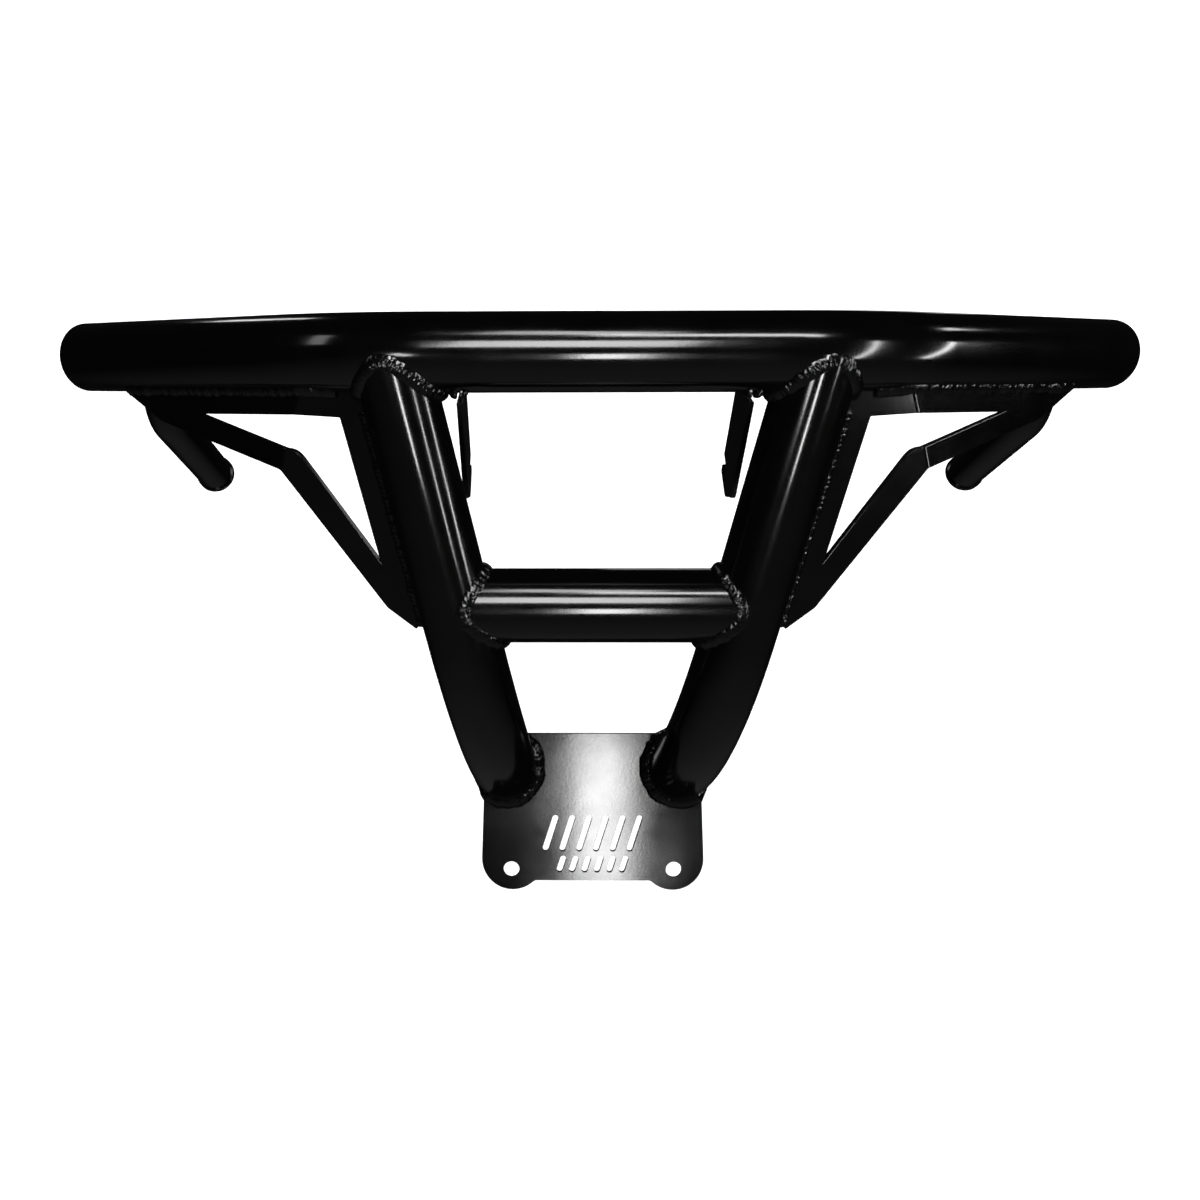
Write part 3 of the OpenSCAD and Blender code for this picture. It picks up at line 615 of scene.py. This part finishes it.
class BUMPER_OT_stays(bpy.types.Operator):
    """Adds the two stays and the bungs in their ends"""
    bl_idname = "bumper.stays"
    bl_label = "Stays"

    def execute(self, context):
        first = STAY_CORNER - STAY_TOP
        fall = math.atan2(-first.z, first.y)
        turn_by = fall - STAY_DROP
        tangent = STAY_BEND_R * math.tan(turn_by / 2)
        start = first.length - tangent
        last = Vector((0, math.cos(STAY_DROP), -math.sin(STAY_DROP)))
        length = (STAY_END_Y - STAY_CORNER.y) / math.cos(STAY_DROP)
        for side, word in ((1, "right"), (-1, "left")):
            bm = bmesh.new()
            place = Matrix.Translation(TUBE_AT + STAY_TOP) @ turn(math.pi / 2 - fall, "X")
            edges = ring(bm, STAY_R, place, 64)
            way = first.normalized()
            edges = go(bm, edges, way * start)
            rear = Vector((0, math.sin(fall), math.cos(fall)))
            centre = TUBE_AT + STAY_TOP + way * start + rear * STAY_BEND_R
            edges = bend(bm, edges, centre, (1, 0, 0), turn_by, 20)
            go(bm, edges, last * (length - tangent))
            close_ends(bm)
            finish_piece(mirrored(bm, side), "stay_skin_" + word, materials()[0], ("stay_" + word,))

            bm = bmesh.new()
            place = Matrix.Translation(TUBE_AT + STAY_CORNER + last * length) @ turn(-math.pi / 2 - STAY_DROP, "X")
            profile = [(5, -1), (5, 4.4), (5.6, 5), (12.9, 5), (13.8, 4.1), (13.8, 0.5), (13.4, 0.1), (12, 0.1)]
            verts = [bm.verts.new((x * MM, 0, z * MM)) for x, z in profile]
            edges = [bm.edges.new(pair) for pair in zip(verts, verts[1:])]
            bmesh.ops.spin(bm, geom=verts + edges, cent=(0, 0, 0), axis=Z, angle=2 * math.pi, steps=64,
                           use_merge=True)
            bmesh.ops.holes_fill(bm, edges=[e for e in bm.edges if e.is_boundary], sides=0)
            bmesh.ops.transform(bm, matrix=place, verts=bm.verts[:])
            finish_piece(mirrored(bm, side), "bung_collar_" + word, materials()[0], ("stay_bung_" + word,))
        return {"FINISHED"}


class BUMPER_OT_hook_tabs(bpy.types.Operator):
    """Adds the two hook tabs under the top tube"""
    bl_idname = "bumper.hook_tabs"
    bl_label = "Hook Tabs"

    def execute(self, context):
        looks = context.scene.bumper_looks
        outline = [(8, 0)] + arc((83, 8), 8, -90, -28, 6) + arc((95, 20), 8, -40, 0, 5)
        outline += arc((100.5, 37.5), 2.5, 0, 90, 4) + [(97, 40)]
        outline += arc((92.5, 33), 4.5, 0, -180, 12) + [(88, 40), (30, 40)]
        outline = [(x * MM, y * MM) for x, y in outline]
        place = (TUBE @ shift(TAB_X, 0, -TUBE_R) @ turn(math.pi / 2 - TAB_DROP, "X") @ turn(math.pi / 2, "Y")
                 @ shift(z=-TAB_T / 2))
        for side, word in ((1, "right"), (-1, "left")):
            bm = bmesh.new()
            sheet_plate(bm, [outline], place, TAB_T, looks.edge_round)
            finish_piece(mirrored(bm, side), "hook_tab_skin_" + word, materials()[1], ("hook_tab_" + word,),
                         flat=True)
        return {"FINISHED"}


class BUMPER_OT_tube_welds(bpy.types.Operator):
    """Adds the beads where the tubes meet each other and the plate"""
    bl_idname = "bumper.tube_welds"
    bl_label = "Tube Welds"

    def execute(self, context):
        coat, pitch = materials()[2], context.scene.bumper_looks.scale_pitch
        top = BentWall(TUBE_R)
        leg_way = -LEG.col[2].to_3d()
        leg = RoundWall(LEG.translation, leg_way, TUBE_R)
        cross_start = Vector((CROSS_LEG_X, CROSS_AT.y, CROSS_AT.z))
        cross = RoundWall(CROSS_AT, Vector((1, 0, 0)), TUBE_R)
        twist = LEG.to_3x3() @ turn(-LEG_TWIST, "Z").to_3x3()
        foot_way = (twist @ Vector((0, math.sin(LEG_TURN), -math.cos(LEG_TURN)))).normalized()
        corner = LEG @ Vector((0, 0, -LEG_LEN))
        foot_at = corner + foot_way * ((TUBE_AT.y + PLATE_Y - corner.y) / foot_way.y)
        foot = RoundWall(foot_at, foot_way, TUBE_R)
        plate = FlatWall(foot_at, Vector((0, -1, 0)))
        inside = foot_at + foot_way * 0.03
        for side, word in ((1, "right"), (-1, "left")):
            seed = 10 if side > 0 else 50
            seam = eased(ring_seam(LEG.translation, leg_way, TUBE_R, top, 180, 0.05), 14)
            weld_bead("leg_top_bead_" + word, coat, seam, leg, top, 8.4 * MM, True, seed,
                      ("leg_top_weld_" + word,), side, pitch, away=leg_way)
            seam = eased(ring_seam(cross_start, Vector((-1, 0, 0)), TUBE_R, leg, 180, 0.05), 12)
            weld_bead("cross_bead_" + word, coat, seam, cross, leg, 7.4 * MM, True, seed + 1,
                      ("cross_weld_" + word,), side, pitch, away=Vector((-1, 0, 0)))
            seam = ring_seam(inside, -foot_way, TUBE_R, plate, 180, 0.09)
            weld_bead("leg_foot_bead_" + word, coat, seam, foot, plate, 8.4 * MM, True, seed + 2,
                      ("leg_foot_weld_" + word,), side, pitch, away=-foot_way, edge=80 * MM)
            way = (STAY_CORNER - STAY_TOP).normalized()
            stay_at = TUBE_AT + STAY_TOP
            seam = ring_seam(stay_at, way, STAY_R, top, 120, 0.05)
            seam = [p for p in seam if (OUTER.inverted() @ p).y > GUSSET_T / 2 + 0.3 * MM]
            weld_bead("stay_bead_" + word, coat, seam, RoundWall(stay_at, way, STAY_R), top, 5.6 * MM, False,
                      seed + 3, ("stay_weld_" + word,), side, pitch, away=way)
        return {"FINISHED"}


class BUMPER_OT_plate_welds(bpy.types.Operator):
    """Adds the beads along the gussets and the hook tabs"""
    bl_idname = "bumper.plate_welds"
    bl_label = "Plate Welds"

    def execute(self, context):
        coat, pitch = materials()[2], context.scene.bumper_looks.scale_pitch
        top = BentWall(TUBE_R)
        leg_way = -LEG.col[2].to_3d()
        leg = RoundWall(LEG.translation, leg_way, TUBE_R)
        inner_front = FlatWall(INNER @ Vector((0, -GUSSET_T / 2, 0)), -INNER.col[1].to_3d())
        outer_front = FlatWall(OUTER @ Vector((0, -GUSSET_T / 2, 0)), -OUTER.col[1].to_3d())

        class FoldWall(FlatWall):
            def pick(self, p):
                return inner_front if inner_front.depth(p) > outer_front.depth(p) else outer_front

            def normal(self, p):
                return self.pick(p).axis

            def depth(self, p):
                return self.pick(p).depth(p)

            def onto(self, p, rise=0.0):
                return self.pick(p).onto(p, rise)

        fold = FoldWall(inner_front.point, inner_front.axis)
        for side, word in ((1, "right"), (-1, "left")):
            seed = 20 if side > 0 else 60
            seam = []
            for i in range(61):
                x = 150 * MM + (TUBE_R / 40) + (150 * MM) * i / 60
                p = RISE @ Vector((x, (x - SWEEP_X) * math.tan(SWEEP_ANGLE), -TUBE_R))
                for _ in range(8):
                    p = fold.onto(p)
                    p = top.onto(p)
                    p.x += RISE.translation.x + x - p.x
                seam.append(p)
            weld_bead("gusset_tube_bead_" + word, coat, seam, fold, top, 6.4 * MM, False, seed,
                      ("gusset_tube_weld_" + word,), side, pitch, away=Vector((0, 0, -1)))
            out = math.sqrt(TUBE_R ** 2 - (GUSSET_T / 2) ** 2)
            seam = [INNER @ Vector((out, -GUSSET_T / 2, -(28 + 134 * i / 60) * MM)) for i in range(61)]
            weld_bead("gusset_leg_bead_" + word, coat, seam, fold, leg, 5.4 * MM, False, seed + 1,
                      ("gusset_leg_weld_" + word,), side, pitch, away=INNER.col[0].to_3d())
            for face, tag in ((-1, "a"), (1, "b")):
                flank = FlatWall(TUBE_AT + Vector((TAB_X + face * TAB_T / 2, 0, 0)), Vector((face, 0, 0)))
                seam = []
                for i in range(41):
                    f = math.radians(-8 + 88 * i / 40)
                    seam.append(TUBE_AT + Vector((TAB_X + face * TAB_T / 2, math.sin(f) * TUBE_R,
                                                  -math.cos(f) * TUBE_R)))
                stands = ("tab_weld_" + word,) if tag == "a" else ()
                weld_bead("tab_bead_%s_%s" % (tag, word), coat, seam, flank, top, 4.8 * MM, False,
                          seed + 2 + face, stands, side, pitch, away=Vector((0, 0.3, -1)))
        return {"FINISHED"}


class BUMPER_OT_stage(bpy.types.Operator):
    """Adds the pale floor and backdrop, the lamps and the camera"""
    bl_idname = "bumper.stage"
    bl_label = "Stage"

    def execute(self, context):
        self.surroundings()
        self.sheets()
        for lamp in LAMPS:
            self.lamp(*lamp)
        camera = bpy.data.cameras.new("camera")
        camera.sensor_width, camera.lens, camera.shift_x = 36, 34.66, 0.0669
        camera.clip_start, camera.clip_end = 0.01, 50
        holder = bpy.data.objects.new("camera", camera)
        holder.location = (-0.03762, -0.80349, 0.18621)
        holder.rotation_euler = (math.pi / 2, 0, math.radians(0.91))
        bpy.context.collection.objects.link(holder)
        bpy.context.scene.camera = holder
        view = bpy.context.scene.view_settings
        view.view_transform = "Standard"
        return {"FINISHED"}

    def surroundings(self):
        world = bpy.data.worlds.new("room")
        bpy.context.scene.world = world
        graph = Graph(world)
        rays = {name: graph.node("ShaderNodeLightPath", out=name)
                for name in ("Is Camera Ray", "Is Glossy Ray", "Is Transmission Ray")}
        way = graph.node("ShaderNodeTexCoord", out="Generated")
        low = graph.node("ShaderNodeSeparateXYZ", None, {"Vector": way}, out="Z").over(-0.30, -0.95)
        seen = rays["Is Camera Ray"] + rays["Is Transmission Ray"]
        strength = (seen + rays["Is Glossy Ray"] * (low * ROOM_LOW + ROOM_GLOSS)
                    + (1 - seen - rays["Is Glossy Ray"]) * 0.12)
        glow = graph.node("ShaderNodeBackground", None, {"Color": (1, 1, 1, 1), "Strength": strength})
        graph.node("ShaderNodeOutputWorld", None, {"Surface": glow})

    def sheets(self):
        material = bpy.data.materials.new("pale sheet")
        graph = Graph(material)
        camera = graph.node("ShaderNodeLightPath", out="Is Camera Ray")
        facing = 1 - graph.node("ShaderNodeNewGeometry", out="Backfacing")
        glow = graph.node("ShaderNodeEmission", None, {"Color": (1, 1, 1, 1), "Strength": 0.80})
        paint = graph.node("ShaderNodeBsdfDiffuse", None, {"Color": (0.8, 0.8, 0.8, 1)})
        white = graph.node("ShaderNodeAddShader", None, {0: glow, 1: paint})
        clear = graph.node("ShaderNodeBsdfTransparent")
        seen = graph.node("ShaderNodeMixShader", None, {0: camera * facing, 1: clear, 2: white})
        graph.node("ShaderNodeOutputMaterial", None, {"Surface": seen})
        back, low = 0.42, -0.45
        for name, place in (("backdrop", shift(0, back, 0) @ turn(math.pi / 2, "X")), ("floor", shift(0, 0, low))):
            bm = bmesh.new()
            bmesh.ops.create_grid(bm, x_segments=1, y_segments=1, size=6, matrix=place)
            mesh = bpy.data.meshes.new(name)
            bm.to_mesh(mesh)
            bm.free()
            mesh.materials.append(material)
            sheet = bpy.data.objects.new(name, mesh)
            bpy.context.collection.objects.link(sheet)

    def lamp(self, name, start, end, width, glow, glossy=True):
        """Hangs a strip lamp between two points, turned to the bumper, of a given radiance."""
        start, end = Vector(start), Vector(end)
        middle, along = (start + end) / 2, (end - start).normalized()
        back = middle - TUBE_AT
        back = (back - along * back.dot(along)).normalized()
        light = bpy.data.lights.new(name, "AREA")
        light.shape, light.size, light.size_y = "RECTANGLE", (end - start).length, width
        light.energy = glow * math.pi * light.size * width
        holder = bpy.data.objects.new(name, light)
        turned = Matrix((along, back.cross(along), back)).transposed().to_4x4()
        holder.matrix_world = Matrix.Translation(middle) @ turned
        holder.visible_camera = False
        holder.visible_glossy = glossy
        bpy.context.collection.objects.link(holder)


# How bright glossy rays see the room and its floor, and the strip lamps: name, start, end, width, radiance, seen in gloss
ROOM_GLOSS, ROOM_LOW = 0.006, 0.12
LAMPS = (
    ("key", (0.06, -1.24, 1.07), (0.62, -1.22, 0.98), 0.15, 17),
    ("key soft", (-0.12, -1.10, 1.22), (0.16, -1.16, 1.14), 0.22, 11),
    ("front", (-0.20, -1.47, 0.58), (0.22, -1.47, 0.54), 0.40, 15),
    ("plate band", (0.078, -1.30, -0.05), (0.078, -1.30, -0.36), 0.10, 28),
    ("strip right", (0.88, -1.00, -0.26), (0.95, -0.95, 0.64), 0.06, 20),
    ("strip far right", (1.24, -0.48, -0.05), (1.42, -0.28, 0.68), 0.07, 20),
    ("leg band", (-0.50, -1.32, 0.00), (-0.34, -1.32, -0.12), 0.12, 16),
    ("rear streak", (-0.79, 0.70, 1.22), (-0.62, 0.35, 1.39), 0.09, 5),
    ("rear right", (0.10, 1.30, 1.00), (0.80, 1.20, 1.00), 0.30, 0.8),
    ("left patch", (-1.12, -0.98, 0.62), (-1.00, -0.84, 1.12), 0.16, 3),
    ("right top spot", (1.18, -0.10, 1.11), (1.20, 0.06, 1.11), 0.10, 7),
    ("sheet lamp", (-0.052, -0.80, 0.197), (-0.040, -0.80, 0.197), 0.012, 4900, False),
)


class BUMPER_PT_looks(bpy.types.Panel):
    """The bumper's sizes, colours and pieces"""
    bl_idname = "BUMPER_PT_looks"
    bl_label = "Bumper"
    bl_space_type = "VIEW_3D"
    bl_region_type = "UI"
    bl_category = "Bumper"

    def draw(self, context):
        looks = context.scene.bumper_looks
        for name in ("coat_colour", "roughness", "edge_round", "scale_pitch"):
            self.layout.prop(looks, name)
        for piece in PIECES:
            self.layout.operator(piece.bl_idname)


PIECES = (BUMPER_OT_top_tube, BUMPER_OT_legs, BUMPER_OT_cross_tube, BUMPER_OT_mount_plate, BUMPER_OT_gussets,
          BUMPER_OT_stays, BUMPER_OT_hook_tabs, BUMPER_OT_tube_welds, BUMPER_OT_plate_welds, BUMPER_OT_stage)
CLASSES = (BumperLooks,) + PIECES + (BUMPER_PT_looks,)


def register():
    for cls in CLASSES:
        bpy.utils.register_class(cls)
    bpy.types.Scene.bumper_looks = bpy.props.PointerProperty(type=BumperLooks)


def unregister():
    del bpy.types.Scene.bumper_looks
    for cls in reversed(CLASSES):
        bpy.utils.unregister_class(cls)


def main():
    register()
    for piece in PIECES:
        group, name = piece.bl_idname.split(".")
        getattr(getattr(bpy.ops, group), name)()


if __name__ == "__main__":
    main()
